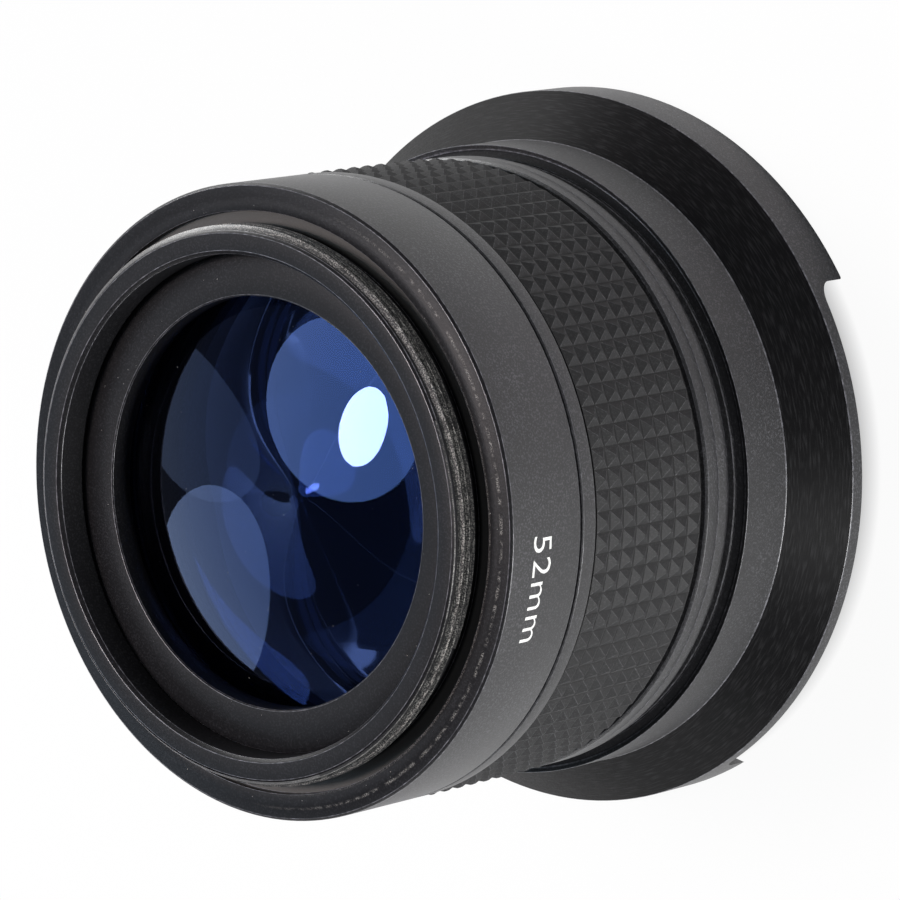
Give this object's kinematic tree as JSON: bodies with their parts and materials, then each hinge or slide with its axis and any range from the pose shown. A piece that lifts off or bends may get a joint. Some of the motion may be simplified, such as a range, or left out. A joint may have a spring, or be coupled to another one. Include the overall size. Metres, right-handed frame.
{
  "type": "wide-angle conversion lens",
  "caption": "Wide-angle conversion lens with petal hood, ribbed rubber grip and a macro section that unscrews; its rear thread fits the filter thread of a camera lens.",
  "frame": {"origin": "on the optical axis, at the plane of the hood petals' front faces, on which the lens stands", "axes": "+Z along the optical axis from the hood to the rear thread, +Y through the middle of one petal, +X through the middle of a gap between the petals"},
  "size_m": [0.07, 0.07, 0.0518],
  "materials": {
    "black_anodised_aluminium": "bead-blasted and black anodised, satin",
    "grip_rubber": "matte moulded rubber",
    "black_plastic": "matte",
    "coated_glass": "polished, blue anti-reflection coating",
    "screw_steel": "plain steel"
  },
  "bodies": {
    "front_assembly": {"hood_bell": "black_anodised_aluminium", "hood_baffle": "black_anodised_aluminium", "front_cell": "black_anodised_aluminium", "front_retaining_ring": "black_anodised_aluminium", "front_element": "coated_glass", "front_cushion_ring": "black_plastic", "lock_ring": "black_anodised_aluminium", "main_barrel": "black_anodised_aluminium", "rubber_grip": "grip_rubber", "second_cell": "black_anodised_aluminium", "second_element": "coated_glass", "second_retaining_ring": "black_anodised_aluminium", "baffle_tube": "black_anodised_aluminium", "cell_set_screw_1": "screw_steel", "cell_set_screw_2": "screw_steel", "cell_set_screw_3": "screw_steel"},
    "seam_ring": {"seam_seal_ring": "grip_rubber"},
    "macro_section": {"macro_housing": "black_anodised_aluminium", "macro_retaining_ring": "black_anodised_aluminium", "macro_crown_element": "coated_glass", "macro_flint_element": "coated_glass", "macro_spacer_ring": "black_anodised_aluminium"}
  },
  "joints": [
    {"name": "macro_travel", "type": "slide", "parent": "front_assembly", "child": "seam_ring", "axis": [0, 0, 1], "range_m": [0, 0.00375]},
    {"name": "macro_turn", "type": "hinge", "parent": "seam_ring", "child": "macro_section", "pos_m": [0, 0, 0.039], "axis": [0, 0, 1], "range_deg": [0, 1800]}
  ],
  "couplings": [
    {"joint": "macro_turn", "follows": "macro_travel", "rad_per_m": 8377.6}
  ]
}
